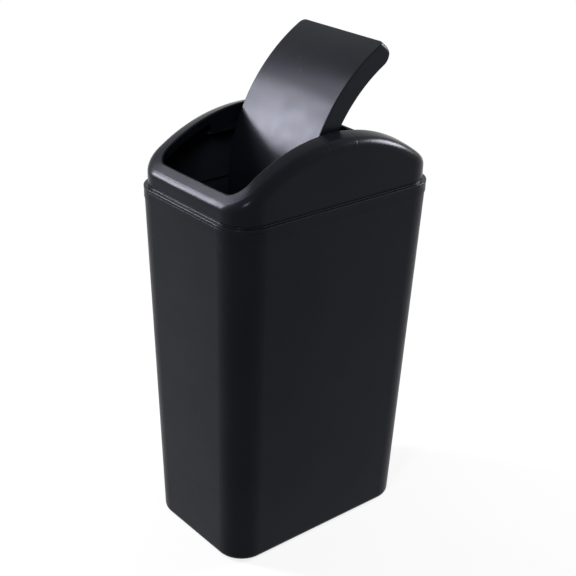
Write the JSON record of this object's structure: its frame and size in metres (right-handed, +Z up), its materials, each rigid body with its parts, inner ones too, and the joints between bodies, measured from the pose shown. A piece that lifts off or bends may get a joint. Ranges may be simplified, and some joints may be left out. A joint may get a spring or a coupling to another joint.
{
  "type": "swing-lid trash can",
  "caption": "Slim tapered plastic bin with a lift-off arched lid collar and an arched flap that swings both ways on stub axles to let rubbish drop in.",
  "frame": {"origin": "middle of the base, on the plane the bin stands on", "axes": "+Z up, X across the short side along the flap's pivot line, front towards -Y, where the open flap dips into the bin"},
  "size_m": [0.1864, 0.2724, 0.5544],
  "materials": {
    "bin_plastic": "fine-grained satin black",
    "collar_plastic": "satin black",
    "flap_plastic": "satin black"
  },
  "bodies": {
    "bin": {"bin_body": "bin_plastic"},
    "collar": {"lid_collar": "collar_plastic"},
    "flap": {"swing_flap": "flap_plastic"}
  },
  "joints": [
    {"name": "lid_lift", "type": "slide", "parent": "bin", "child": "collar", "axis": [0, 0, 1], "range_m": [0, 0.15]},
    {"name": "flap_swing", "type": "hinge", "parent": "collar", "child": "flap", "pos_m": [0, 0, 0.4564], "axis": [1, 0, 0], "range_deg": [-149.1, 15.9]}
  ]
}
